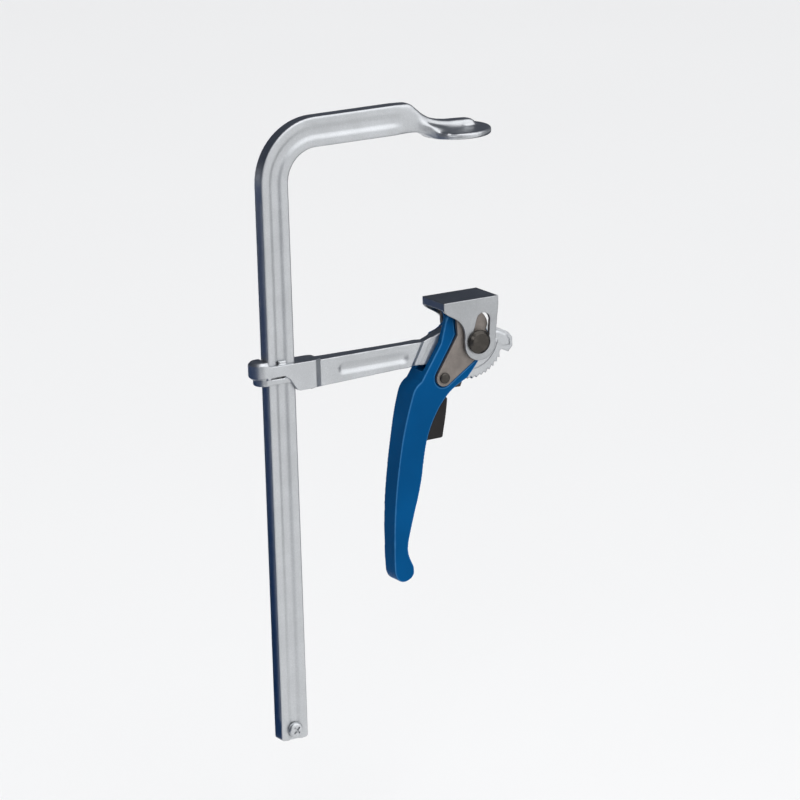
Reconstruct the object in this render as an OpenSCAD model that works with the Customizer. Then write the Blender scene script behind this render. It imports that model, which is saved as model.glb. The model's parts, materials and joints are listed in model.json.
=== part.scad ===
// Quick release bar clamp: a lever clamp whose sliding arm runs on a grooved
// flat rail. A ratchet lever turns two cam plates, which push the pressure shoe
// towards the fixed jaw.
// Frame: origin at the centre of the fixed jaw's pressure face, +Z up (the jaw
// closes towards +Z), +X away from the rail, +Y away from the viewer.
// The model stands in its clamped state, gripping work jaw_gap thick.

/* [Rail] */
// Throat depth, from the rail's inner edge to the jaw centre
throat = 121; // [110:1:140]
// Width of the rail section
rail_w = 19; // [17:0.5:22]
// Thickness of the rail section
rail_t = 9.5; // [8.5:0.5:11]
// Distance from the fixed jaw face down to the rail's lower end
rail_drop = 367; // [340:1:460]
// Width of the rolled groove in both wide faces
groove_w = 6.2; // [4:0.2:8]
// Depth of the rolled groove
groove_d = 0.7; // [0.4:0.1:1]
// Inner radius of the bend between rail and fixed arm
bend_r = 20; // [16:1:24]
// Radius of the rail's lower corners
end_r = 2.5; // [1:0.5:4]

/* [Fixed jaw] */
// Radius of the round fixed pad
pad_r = 22; // [18:1:26]
// Thickness of the pad at its rim
pad_t = 4; // [3:0.5:6]
// Height of the fixed arm's lower edge over the pad face
arm_rise = 4.8; // [4.6:0.1:9]
// Width of the rib that runs out over the pad
rib_w = 8.5; // [6:0.5:9]

/* [Sliding arm] */
// Gap between the jaw faces as modelled
jaw_gap = 103; // [80:1:200]
// Running clearance between the head and the rail, each side
head_gap = 0.3; // [0.2:0.05:0.5]
// Wall of the head over the rail's wide faces
strap_t = 2.6; // [2:0.1:4]
// Height of the head's upper strap
strap_h = 7.2; // [6:0.2:9]
// Height of the head's lower strap
lip_h = 3.6; // [3:0.2:5]
// Height of the block on the rail's inner side
head_h = 18; // [16:0.5:22]
// Height of the sliding arm between head and hub
arm_h = 17.2; // [14:0.2:20]
// Thickness of the arm beside the head
arm_root_t = 10.4; // [9:0.2:13]
// Thickness of the arm beside the hub
arm_tip_t = 7; // [6:0.2:8]
// Thickness of the hub that the lever straddles
hub_t = 8.6; // [8:0.2:9]
// Width of the sunk panel in the arm's flank
panel_w = 6.6; // [5:0.2:9]
// Depth of the sunk panel
panel_d = 1.2; // [0.6:0.1:1.6]

/* [Ratchet] */
// Radius of the toothed segment over its tooth tips
tip_r = 26; // [25.8:0.1:26.2]
// Depth of the teeth
tooth_d = 2; // [1.6:0.1:2.2]
// Angle from tooth to tooth
tooth_pitch = 7.5; // [7.5:0.5:8]
// Thickness of the toothed rim
rim_t = 7; // [6:0.5:8]

/* [Lever] */
// Thickness of the lever head over both cheeks
head_t = 16; // [15.4:0.2:17]
// Thickness of the lever over the tops of both cheeks
crown_t = 12.6; // [12:0.2:15]
// Thickness of the handle half way down
grip_t = 16; // [15:0.5:18]
// Thickness of the handle's end
tail_t = 12.6; // [11:0.2:14]
// Thickness of the cam plates
cam_t = 2.5; // [2:0.1:3]
// Lift of the cam over the whole lever stroke
cam_lift = 11.65; // [10:0.05:12]
// Lever stroke, a whole number of teeth
stroke_deg = 75; // [60:7.5:75]
// Height of the shoe plate's underside over the pivot, clamped
cam_reach = 22.6; // [22:0.1:23]

/* [Pins] */
// Radius of the pivot pin's shank
pin_r = 4.5; // [4:0.1:5]
// Radius of the pivot pin's heads
pin_head_r = 7.6; // [7:0.1:8]
// Thickness of the pivot pin's heads
pin_head_t = 3.3; // [2.5:0.1:4]
// Radius of the lock rivet's shank
rivet_r = 2.5; // [2:0.1:3]
// Radius of the lock rivet's heads
rivet_head_r = 3.4; // [3.2:0.1:4]
// Thickness of the lock rivet's heads
rivet_head_t = 1.6; // [1.2:0.1:2]
// Running clearance of a pin in a bore that turns on it
run_gap = 0.05; // [0.02:0.01:0.1]
// Gap of a pin in a bore that doesn't turn on it
seat_gap = 0.02; // [0.01:0.01:0.05]
// Side gap between plates that slide past each other
side_gap = 0.2; // [0.1:0.05:0.4]

/* [Shoe] */
// Length of the shoe's pressure plate along the arm
shoe_l = 39.4; // [36:0.2:44]
// Thickness of the pressure plate
shoe_t = 4.9; // [4:0.1:6]
// Thickness of the shoe's ears
ear_t = 2.5; // [2:0.1:3]
// Radius of the ear's lower lobe
lobe_r = 11; // [10.6:0.1:12]

/* [Trigger] */
// Thickness of the pawl
pawl_t = 7.6; // [7:0.2:8]
// Thickness of the trigger cover
trigger_t = 10.6; // [10:0.2:11]
// Angle by which the pawl clears the tooth tips as modelled
pawl_lift_deg = 7; // [6.5:0.5:8]
// Wire of the pawl spring
spring_wire = 0.9; // [0.7:0.1:1.1]

/* [Stop screw] */
// Radius of the stop screw's thread
screw_r = 2.5; // [2:0.1:3]
// Radius of the screw's pan head
screw_head_r = 4.9; // [4.5:0.1:6]
// Height of the screw's pan head
screw_head_h = 2.9; // [2:0.1:4]
// Distance from the rail's lower end to the screw
screw_up = 6.6; // [6:0.1:9]

/* [Hidden] */
$fn = 64;
zinc = [0.76, 0.77, 0.79];
far = 200;                                // reach of a cutting solid
cut = 1;                                  // overlap of a cut past a face

// Rail and fixed arm
rail_x = -throat - rail_w / 2;            // centre line of the rail
bend_x = -throat + bend_r;                // centre of the bend
bend_z = arm_rise - bend_r;
arm_top = arm_rise + rail_w;
neck_x = -37;                             // where the fixed arm starts to neck

// Pivot of the lever, from the fixed jaw face
shoe_face_z = -jaw_gap;
pivot_x = 4.5;
pivot_z = shoe_face_z - shoe_t - cam_reach;

// Stack of layers across the lever head, as half widths
cheek_in = hub_t / 2 + side_gap;           // inner faces of the lever's cheeks
cam_in = head_t / 2 + side_gap / 2;
cam_out = cam_in + cam_t;
ear_in = cam_out + side_gap;
ear_out = ear_in + ear_t;
pin_in = ear_out + side_gap;

// Cam: an involute, so that the lift is in proportion to the lever's turn
cam_rate = cam_lift / (stroke_deg * PI / 180);
root_r = tip_r - tooth_d;

// Lock rivet, on which the pawl turns, from the pivot
rivet = [-23.6, -20.4];
rivet_end_r = 5.4;                        // round end of the cam plates
slot_r = tip_r + 1.2;                     // room for the teeth inside the lever
nose_deg = -104;                          // direction of the engaged tooth

// Slot of the shoe: round ends, the lower one wider so that the shoe can tilt
slot_top = [3.9, 13.1];
slot_low = [1.3, 0.3];
slot_low_r = pin_r + 1.7;
slot_top_r = pin_r + 0.35;

// Ends and top of the shoe's plate, from the pivot
shoe_left = -shoe_l / 2 - pivot_x;
shoe_right = shoe_l / 2 - pivot_x;
shoe_top = cam_reach + shoe_t;

function polar(r, a, c = [0, 0]) = [c[0] + r * cos(a), c[1] + r * sin(a)];
function arc(r, a0, a1, c = [0, 0], n = 16) =
    [for (i = [0:n]) polar(r, a0 + (a1 - a0) * i / n, c)];
// Cubic curve from p0 to p3 with handles p1 and p2, without its first point
function curve(p0, p1, p2, p3, n = 10) =
    [for (i = [1:n]) let (t = i / n, s = 1 - t)
        s * s * s * p0 + 3 * s * s * t * p1 + 3 * s * t * t * p2 + t * t * t * p3];
// Point of the cam's flank where it lifts the shoe after a turn of a degrees
function cam_point(a, reach = cam_reach) =
    let (p = reach - cam_rate * a * PI / 180)
    p * [sin(a), cos(a)] - cam_rate * [cos(a), -sin(a)];

// An outline in the X-Z plane made a plate between two Y values
module plate(y0, y1) {
    translate([0, y1, 0]) rotate([90, 0, 0]) linear_extrude(y1 - y0) children();
}
module at_pivot() {
    translate([pivot_x, 0, pivot_z]) children();
}
module round_bar(r, half) {
    rotate([90, 0, 0]) translate([0, 0, -half]) cylinder(r = r, h = 2 * half);
}
module both_sides() {
    children();
    mirror([0, 1, 0]) children();
}
// A round-ended slot outline between two points, with a radius at each
module tapered_slot(p, rp, q, rq) {
    d = norm(q - p);
    dir = atan2(q[1] - p[1], q[0] - p[0]);
    lean = acos((rp - rq) / d);
    polygon(concat(arc(rp, dir + lean, dir + 360 - lean, p, 32),
                   arc(rq, dir - lean, dir + lean, q, 32)));
}

// ---- rail ----
// Rolled section, X across the width and Y through the thickness
module rail_section() {
    bevel = 0.6;
    w = rail_w / 2;
    t = rail_t / 2;
    g = groove_w / 2;
    slope = 0.5;                          // run of the groove's sloped walls
    quarter = [[g, t - groove_d], [g + slope, t], [w - bevel, t], [w, t - bevel]];
    right = concat(quarter, [for (i = [3:-1:0]) [quarter[i][0], -quarter[i][1]]]);
    left = [for (i = [7:-1:0]) [-right[i][0], right[i][1]]];
    polygon(concat(right, left));
}
module rail_end_outline() {
    w = rail_w / 2;
    low = -rail_drop;
    polygon(concat([[rail_x - w, cut + bend_z]],
                   arc(end_r, 180, 270, [rail_x - w + end_r, low + end_r], 8),
                   arc(end_r, 270, 360, [rail_x + w - end_r, low + end_r], 8),
                   [[rail_x + w, cut + bend_z]]));
}
// Side view of the neck, from the fixed arm down onto the pad
module neck_outline() {
    top = [neck_x, arm_top];
    rib_end = [13.5, pad_t];
    polygon(concat([[neck_x, arm_rise], top],
                   curve(top, [-29, arm_top], [-29, 11.5], [-7, 9.6]),
                   curve([-7, 9.6], [2, 8.6], [rib_end[0], 11], rib_end),
                   [[rib_end[0], pad_t / 2], [-pad_r + 1, pad_t / 2], [-pad_r - 4, 4.6]]));
}
// Plan of the rib, which narrows from the arm to its round end
module rib_plan() {
    a = rail_t / 2;
    r = rib_w / 2;
    polygon(concat([[neck_x - cut, -a], [-26, -a]], arc(r, -90, 90, [14 - r, 0]),
                   [[-26, a], [neck_x - cut, a]]));
}
module flare_plan() {
    a = rail_t / 2;
    wide = pad_r * 0.74;
    polygon(concat([[neck_x + 4, -a]],
                   curve([neck_x + 4, -a], [-25, -a - 1], [-19, -9], [-pad_r * 0.66, -wide], 6),
                   [[0, -wide / 2], [0, wide / 2], [-pad_r * 0.66, wide]],
                   [for (p = curve([-pad_r * 0.66, wide], [-19, 9], [-25, a + 1],
                                   [neck_x + 4, a], 6)) p]));
}
module flare_outline() {
    polygon([[neck_x + 4, arm_rise], [-27, 4.6], [-pad_r + 1.5, 0.6], [0, 0.6],
             [0, pad_t], [-8, pad_t + 0.8], [neck_x + 4, 13]]);
}
module rail() {
    color(zinc) difference() {
        union() {
            intersection() {
                translate([rail_x, 0, -rail_drop])
                    linear_extrude(rail_drop + bend_z) rail_section();
                plate(-rail_t, rail_t) rail_end_outline();
            }
            translate([bend_x, 0, bend_z]) rotate([90, 0, 0]) rotate([0, 0, 90])
                rotate_extrude(angle = 90)
                    translate([bend_r + rail_w / 2, 0]) rail_section();
            translate([bend_x, 0, arm_rise + rail_w / 2]) rotate([0, 90, 0])
                linear_extrude(neck_x - bend_x) rail_section();
            intersection() {
                plate(-rail_t, rail_t) neck_outline();
                linear_extrude(far, center = true) rib_plan();
            }
            intersection() {
                plate(-pad_r, pad_r) flare_outline();
                linear_extrude(far, center = true) flare_plan();
            }
            pad();
        }
        // threaded hole of the stop screw
        translate([rail_x, 0, -rail_drop + screw_up])
            round_bar(screw_r, rail_t);
    }
}
module pad() {
    bevel = 1;
    rotate_extrude($fn = 96)
        polygon([[0, 0], [pad_r - 0.6, 0], [pad_r, 0.6], [pad_r, pad_t - bevel],
                 [pad_r - bevel, pad_t], [0, pad_t]]);
}

// ---- stop screw ----
module stop_screw() {
    grip = rail_t / 2;
    slot_w = 1.1;
    slot_l = 5.4;
    slot_depth = 1.5;
    color([0.72, 0.73, 0.75])
        translate([rail_x, 0, -rail_drop + screw_up]) rotate([90, 0, 0]) difference() {
            rotate_extrude()
                polygon(concat([[0, -grip], [screw_r - seat_gap, -grip],
                                [screw_r - seat_gap, grip], [screw_head_r, grip],
                                [screw_head_r, grip + screw_head_h * 0.4]],
                               curve([screw_head_r, grip + screw_head_h * 0.4],
                                     [screw_head_r, grip + screw_head_h],
                                     [screw_head_r * 0.7, grip + screw_head_h],
                                     [0, grip + screw_head_h], 6)));
            for (a = [45, 135]) rotate([0, 0, a])
                translate([-slot_l / 2, -slot_w / 2, grip + screw_head_h - slot_depth])
                    cube([slot_l, slot_w, far]);
        }
}

// ---- sliding arm ----
head_top = pivot_z + 4.4;                 // top of the head's inner block
strap_low = head_top - strap_h;
lip_low = strap_low - 1.2 - lip_h;
head_x = -throat + head_gap;              // bearing face on the rail's inner edge
loop_x = -throat - rail_w - head_gap;     // bearing face on its outer edge
strap_in = rail_t / 2 + head_gap;
strap_out = strap_in + strap_t;
step_x = head_x + 11;                     // where the arm steps out from the head
hub_r = 10.2;                             // round end of the arm about the pivot

module head_outline() {
    low = head_top - head_h;
    polygon([[loop_x - 1.5, head_top - 0.2], [step_x + 6, head_top - 0.2],
             [step_x + 6, low + 0.6], [head_x + 1.5, low], [head_x - 0.6, low + 0.8],
             [head_x - 5.6, strap_low - 2.4], [head_x - 9, strap_low],
             [loop_x - 1.5, strap_low]]);
}
module lip_outline() {
    polygon([[loop_x - 1.5, strap_low - 1.2], [head_x - 6.5, strap_low - 1.2],
             [head_x - 1, lip_low], [loop_x - 1.5, lip_low]]);
}
// Rounded end that carries the straps round the rail's outer edge
module loop_end(half, reach, z0, z1, edge) {
    centre = loop_x - reach + half;
    h = z1 - z0;
    translate([centre, 0, z0]) intersection() {
        rotate_extrude()
            polygon([[0, 0], [half - edge, 0], [half, edge], [half, h - edge],
                     [half - edge, h], [0, h]]);
        translate([-half, -half, -cut]) cube([half, 2 * half, h + 2 * cut]);
    }
    translate([centre - cut / 8, 0, z0]) rotate([90, 0, 90]) linear_extrude(loop_x - centre)
        polygon([[-half + edge, 0], [half - edge, 0], [half, edge], [half, h - edge],
                 [half - edge, h], [-half + edge, h], [-half, h - edge], [-half, edge]]);
}
module arm_outline() {
    top = head_top - 1.2;
    low = top - arm_h;
    hub_x = pivot_x;
    polygon([[step_x - 2, low], [step_x - 2, top], [hub_x - 33, top],
             [hub_x - 23, top + 3.6], [hub_x - 17, top + 6], [hub_x - 8, pivot_z + hub_r],
             [hub_x, pivot_z + hub_r], [hub_x, low - 6], [hub_x - 18, low + 2],
             [hub_x - 40, low + 2.4]]);
}
module arm_plan() {
    root = arm_root_t / 2;
    tip = arm_tip_t / 2;
    hub = hub_t / 2;
    side = [[step_x - 2, strap_out - 0.4], [step_x + 2.5, root], [pivot_x - 38, tip],
            [pivot_x - 36, tip], [pivot_x - 33, hub], [pivot_x + 40, hub]];
    polygon(concat(side, [for (i = [5:-1:0]) [side[i][0], -side[i][1]]]));
}
// Toothed segment, centred on the pivot
module segment_outline() {
    teeth = 11;
    first = nose_deg - 3 * tooth_pitch;
    last = first + (teeth + 2) * tooth_pitch;
    polygon(concat([[0, 0]],
                   [for (k = [0:teeth + 1]) each [polar(root_r, first + k * tooth_pitch),
                                                  polar(tip_r, first + k * tooth_pitch)]],
                   [polar(root_r, last), polar(root_r, last + 4)]));
    // end stop past the last tooth
    polygon([[0, 10], [12, 8], [20.5, 3.8], [27, 0.6], [30.4, -3.2], [30.6, -9],
             [27.2, -12.6], [23.6, -10.3], [20.4, -10.4], [12, -18], [0, -20]]);
}
module sliding_arm() {
    shoulder_r = 19.4;
    panel_x0 = -87.5;
    panel_x1 = -44.5;
    color(zinc) difference() {
        union() {
            both_sides() {
                plate(strap_in, strap_out) head_outline();
                plate(strap_in, strap_out - 0.9) lip_outline();
            }
            plate(-strap_out, strap_out) intersection() {
                head_outline();
                translate([head_x, -far]) square([far, 2 * far]);
            }
            loop_end(strap_out, 10, strap_low - 1, head_top + 2.6, 1.6);
            loop_end(strap_out - 0.9, 7, lip_low - 0.6, strap_low - 0.8, 0.8);
            translate([loop_x - 1.5, 0, 0]) both_sides()
                translate([0, strap_in, strap_low - 1])
                    cube([2.5, strap_t, strap_h + 1]);
            intersection() {
                plate(-far, far) arm_outline();
                linear_extrude(2 * far, center = true) arm_plan();
            }
            at_pivot() {
                plate(-rim_t / 2, rim_t / 2) segment_outline();
                round_bar(hub_r, hub_t / 2);
                intersection() {
                    round_bar(shoulder_r, hub_t / 2);
                    plate(-far, far)
                        polygon([[-3, 3], polar(40, -128), polar(60, -70), polar(40, -14)]);
                }
            }
        }
        // room for the rail
        translate([loop_x, -strap_in, -far - rail_drop])
            cube([head_x - loop_x, 2 * strap_in, 2 * far + rail_drop]);
        at_pivot() round_bar(pin_r + run_gap, hub_t);
        // sunk panels in both flanks, following the taper of the arm
        both_sides() translate([panel_x0, 0, head_top - 9.4]) {
            run = panel_x1 - panel_x0;
            taper = atan((arm_root_t - arm_tip_t) / 2 / (pivot_x - 38 - step_x - 2.5));
            face = arm_root_t / 2 - (panel_x0 - step_x - 2.5) * tan(taper);
            translate([0, face - panel_d, 0]) rotate([0, 0, -taper])
                plate(0, far) {
                    translate([0, -panel_w / 2]) square([run, panel_w]);
                    circle(d = panel_w);
                    translate([run, 0]) circle(d = panel_w);
                }
        }
    }
}

// ---- lever ----
module lever_outline() {
    nose = cam_point(10, cam_reach - 1.2);
    head = concat([[-24.4, 1.7], [-20.4, 14.1]],
                  curve([-20.4, 14.1], [-19, 18.5], [-17, 21], nose, 6),
                  [for (a = [20:10:stroke_deg]) cam_point(a, cam_reach - 1.2)],
                  arc(10.5, 30, -50, [0, 0], 8));
    underside = concat([[-6, -22.8], [-11.6, -25.5]],
                       curve([-11.6, -25.5], [-18, -28.5], [-23, -33], [-27.4, -39.8], 6));
    grip = concat(curve([-27.4, -39.8], [-33, -49], [-37, -58], [-39.5, -79.7]),
                  curve([-39.5, -79.7], [-42.5, -97], [-50.4, -117], [-50.9, -126.4]),
                  curve([-50.9, -126.4], [-51.2, -134], [-46.8, -137], [-46.8, -141.8]),
                  curve([-46.8, -141.8], [-46.8, -146.4], [-51, -148.2], [-54.2, -148.2]),
                  curve([-54.2, -148.2], [-58.6, -148.2], [-60.6, -144], [-60.7, -139]),
                  curve([-60.7, -139], [-61.2, -112], [-59.5, -92], [-55.4, -68]),
                  curve([-55.4, -68], [-52.6, -52], [-50.4, -41.6], [-46, -28.6]),
                  curve([-46, -28.6], [-45, -25.6], [-43.6, -23.2], [-39.3, -20.7], 5));
    polygon(concat(head, underside, grip));
}
// Thickness of the lever seen along X: wide cheeks, a slimmer handle
module lever_section() {
    h = head_t / 2;
    g = grip_t / 2;
    e = tail_t / 2;
    crown = crown_t / 2;
    right = [[crown, 40], [crown, 21], [h, -1], [h, -24], [g, -52], [g - 0.6, -90],
             [e, -140], [e, -160]];
    polygon(concat(right, [for (i = [7:-1:0]) [-right[i][0], right[i][1]]]));
}
module lever() {
    pocket_in = trigger_t / 2 + 0.4;
    scoop_top = -54;
    scoop_low = -118;
    scoop_w = 7;
    color([0.0, 0.31, 0.56]) at_pivot() difference() {
        intersection() {
            plate(-far, far) lever_outline();
            rotate([90, 0, 90]) linear_extrude(2 * far, center = true) lever_section();
        }
        // slot for the sliding arm and the toothed segment
        plate(-cheek_in, cheek_in) {
            circle(r = slot_r, $fn = 96);
            polygon([[0, 60], [-60, 60], [-60, -14.6], [-18, -16.5], [0, -16]]);
        }
        // pocket for the pawl and the trigger, open away from the rail
        plate(-cheek_in, cheek_in)
            polygon([[0, -15], [-26, -15.4], [-33, -19.2], [-36.6, -26], [-40, -40], [10, -34]]);
        plate(-pocket_in, pocket_in)
            polygon(concat([[-34, -29], [-37.4, -29]],
                           curve([-37.4, -29], [-39.8, -40], [-43, -52], [-44.6, -66]),
                           [[-44, -69], [-30, -71], [-18, -60], [10, -29]]));
        // the rear cheek is cut back over the arm
        plate(0, far)
            polygon(concat([[-40, 5], [-22.5, 5.4]],
                           curve([-22.5, 5.4], [-13.4, 7.4], [-11.6, 12], [-15.6, 20]),
                           [[-17, 30], [-40, 30]]));
        round_bar(pin_r + seat_gap, head_t);
        translate([rivet[0], 0, rivet[1]]) round_bar(rivet_r + seat_gap, head_t);
        // finger scoop along the side that faces the rail
        rotate([0, 6.5, 0]) translate([-60.6, 0, 0])
            translate([0, 0, scoop_low + 4]) {
                len = scoop_top - scoop_low - 6;
                cylinder(r = scoop_w / 2, h = len);
                sphere(r = scoop_w / 2);
                translate([0, 0, len]) sphere(r = scoop_w / 2);
            }
    }
}

// ---- cam plates ----
module cam_outline() {
    lobe = 9.4;
    // directions of the straight edges that run down to the rivet's round end
    polygon(concat([for (a = [0:7.5:stroke_deg + 7.5]) cam_point(a)],
                   arc(lobe, 42, -53, [0, 0], 12),
                   arc(rivet_end_r, -53, -214, rivet, 20),
                   [[-13.3, 5.4], [-13.7, 13.6]],
                   curve([-13.7, 13.6], [-14.2, 18.5], [-12.6, cam_reach - 0.3],
                         [-cam_rate - 0.8, cam_reach - 0.02], 6)));
}
module cam_plate() {
    color([0.5, 0.48, 0.46]) at_pivot() plate(cam_in, cam_out) difference() {
        cam_outline();
        circle(r = pin_r + seat_gap);
        translate(rivet) circle(r = rivet_r + seat_gap);
    }
}
module cam_plate_front() {
    mirror([0, 1, 0]) cam_plate();
}
module cam_plate_rear() {
    cam_plate();
}

// ---- pins ----
// A shank with two bevelled heads, turned about its own axis
module headed_pin(r, grip, head_r, head, top_r, step) {
    rotate([90, 0, 0]) rotate_extrude()
        polygon([[0, -grip - head], [top_r, -grip - head], [head_r, -grip - head + step],
                 [head_r, -grip], [r, -grip], [r, grip], [head_r, grip],
                 [head_r, grip + head - step], [top_r, grip + head], [0, grip + head]]);
}
module pivot_pin() {
    color([0.27, 0.26, 0.25]) at_pivot()
        headed_pin(pin_r, pin_in, pin_head_r, pin_head_t, 5.8, 1.6);
}
module lock_rivet() {
    color([0.24, 0.23, 0.22]) at_pivot() translate([rivet[0], 0, rivet[1]])
        headed_pin(rivet_r, cam_out, rivet_head_r, rivet_head_t, 2.8, 0.6);
}

// ---- pawl and trigger ----
pawl_hub_r = 4.3;
tail_deg = -104;                          // direction of the pawl's tail
tail_l = 36;
tail_w = 3.6;
tail_off = 0.4;                           // tail's centre line beside the rivet
leg_t = pawl_t - 1.6;                     // thickness of the tail
cover_rivet_r = 1.5;
cover_head_r = 2.6;
cover_head_t = 1.2;
cover_rivet_at = 22;                      // distance of the cover's rivet from the pivot

module at_pawl() {
    at_pivot() translate([rivet[0], 0, rivet[1]]) children();
}
// The nose is drawn seated in a tooth, then turned clear of the tips
module pawl_outline() {
    flank = nose_deg - 0.8;               // just clear of the tooth's steep side
    nose = polar(root_r + 0.4, flank) - rivet;
    back = polar(tip_r + 0.5, nose_deg - tooth_pitch * 0.9) - rivet;
    rotate(-pawl_lift_deg)
        polygon([[0, 2.6], [4.3, 0.2], back, nose, polar(28.4, flank) - rivet,
                 polar(28.9, nose_deg - 2.4) - rivet, [7.4, -8.2], [0, -pawl_hub_r]]);
    circle(r = pawl_hub_r);
}
module tail_outline(gap = 0) {
    rotate(tail_deg + 90) translate([tail_off - tail_w / 2 - gap, -tail_l - 5 * gap])
        square([tail_w + 2 * gap, tail_l + 5 * gap]);
}
// Place a child on the pawl's tail, with X through it
module at_tail(along) {
    rotate([0, -tail_deg - 90, 0]) translate([tail_off, 0, -along]) rotate([0, 90, 0])
        children();
}
module pawl() {
    spring_room = 1.9;
    color([0.3, 0.29, 0.28]) at_pawl() difference() {
        union() {
            plate(-pawl_t / 2, pawl_t / 2) pawl_outline();
            plate(-leg_t / 2, leg_t / 2) tail_outline();
        }
        round_bar(rivet_r + run_gap, pawl_t);
        // room for the spring's coil round the rivet
        difference() {
            round_bar(pawl_hub_r + cut, spring_room);
            round_bar(rivet_r + run_gap + 0.3, spring_room + cut);
        }
        at_tail(cover_rivet_at)
            cylinder(r = cover_rivet_r, h = far, center = true);
    }
}
module pawl_rivet() {
    color([0.3, 0.29, 0.28]) at_pawl() at_tail(cover_rivet_at)
        translate([0, 0, -tail_w / 2 - cover_head_t]) {
            cylinder(r = cover_head_r, h = cover_head_t);
            cylinder(r = cover_rivet_r - seat_gap, h = cover_head_t + tail_w + 2);
        }
}
// Black finger plate: a cover over the end of the pawl's tail
module trigger() {
    head_z = -tail_w / 2 - cover_head_t - seat_gap;
    color([0.13, 0.12, 0.12]) at_pawl() difference() {
        plate(-trigger_t / 2, trigger_t / 2)
            polygon(concat([[-4.4, -12.4], [3.6, -13.2], [4.7, -15]],
                           curve([4.7, -15], [3.6, -26], [1.6, -33], [0.8, -37.7]),
                           arc(1.4, 0, -86, [-0.6, -37.9], 4),
                           [[-12.4, -39.6], [-11, -34]]));
        plate(-leg_t / 2 - seat_gap, leg_t / 2 + seat_gap) tail_outline(seat_gap);
        // hole of the rivet, open at the back for its head
        at_tail(cover_rivet_at) {
            cylinder(r = cover_rivet_r, h = tail_w / 2 + 2 + seat_gap);
            translate([0, 0, head_z]) cylinder(r = cover_head_r + seat_gap, h = tail_w);
            translate([0, 0, head_z - far]) cylinder(r = cover_head_r + seat_gap, h = far);
        }
    }
}

// ---- pawl spring ----
// Wire wound round the lock rivet: one leg on the lever's wall, one on the tail.
// Both legs leave the coil along its tangent.
module pawl_spring() {
    coil_r = rivet_r + 1;
    lever_leg = [-10.9, -5.3];
    tail_leg = [-5.2, -12];
    steps = 40;
    sides = 8;
    w = spring_wire / 2;
    first = atan2(lever_leg[1], lever_leg[0]) + acos(coil_r / norm(lever_leg));
    last = atan2(tail_leg[1], tail_leg[0]) - acos(coil_r / norm(tail_leg)) + 720;
    half = spring_wire * 1.3 * (last - first) / 720;
    path = concat([[lever_leg[0], -half, lever_leg[1]]],
                  [for (i = [0:steps]) let (p = polar(coil_r, first + (last - first) * i / steps))
                      [p[0], -half + 2 * half * i / steps, p[1]]],
                  [[tail_leg[0], half, tail_leg[1]]]);
    count = len(path);
    rings = [for (i = [0:count - 1])
        let (before = path[max(i - 1, 0)], after = path[min(i + 1, count - 1)],
             t = (after - before) / norm(after - before),
             u0 = cross([0, 1, 0], t), u = u0 / norm(u0), v = cross(t, u))
        [for (k = [0:sides - 1]) path[i] + w * (cos(k * 360 / sides) * u
                                                + sin(k * 360 / sides) * v)]];
    flat = [for (r = rings) each r];
    walls = [for (i = [0:count - 2], k = [0:sides - 1])
        let (n = (k + 1) % sides, a = i * sides + k, b = i * sides + n)
        each [[a, a + sides, b], [b, a + sides, b + sides]]];
    caps = [for (k = [1:sides - 2]) each [[0, k, k + 1],
        [(count - 1) * sides, (count - 1) * sides + k + 1, (count - 1) * sides + k]]];
    color([0.6, 0.6, 0.62]) at_pivot() translate([rivet[0], 0, rivet[1]])
        polyhedron(flat, concat(walls, caps));
}

// ---- shoe ----
// Side view of an ear, from the pivot: an S-curve down to a round lobe
module ear_outline() {
    lobe = [1.4, -1.2];
    polygon(concat([[shoe_left, shoe_top], [shoe_left, cam_reach]],
                   curve([shoe_left, cam_reach], [-22.4, 18], [-12.6, 17.6], [-10, 9]),
                   curve([-10, 9], [-8.9, 4.4], [-9.9, 2], lobe + [-lobe_r, 1.5]),
                   arc(lobe_r, 190, 352, lobe, 24),
                   [[12.6, 2.6], [shoe_right, cam_reach], [shoe_right, shoe_top]]));
}
module shoe() {
    color([0.78, 0.78, 0.8]) at_pivot() {
        both_sides() plate(ear_in, ear_out) difference() {
            ear_outline();
            tapered_slot(slot_low, slot_low_r, slot_top, slot_top_r);
        }
        plate(-ear_in - cut / 2, ear_in + cut / 2)
            polygon([[shoe_left, cam_reach], [shoe_right, cam_reach],
                     [shoe_right, shoe_top], [shoe_left, shoe_top]]);
    }
}

rail();
stop_screw();
sliding_arm();
lever();
cam_plate_front();
cam_plate_rear();
pivot_pin();
lock_rivet();
pawl();
pawl_rivet();
trigger();
pawl_spring();
shoe();
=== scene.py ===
"""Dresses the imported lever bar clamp: rounded forgings, turned pins, a serrated rail and
their finishes, on a pale studio floor. Lengths are in metres unless a comment says
millimetres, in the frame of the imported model: origin at the centre of the fixed jaw's face,
+Z up, +X away from the rail."""

import json
import math

import bmesh
import bpy
from mathutils import Matrix, Vector
from mathutils.bvhtree import BVHTree

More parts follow.
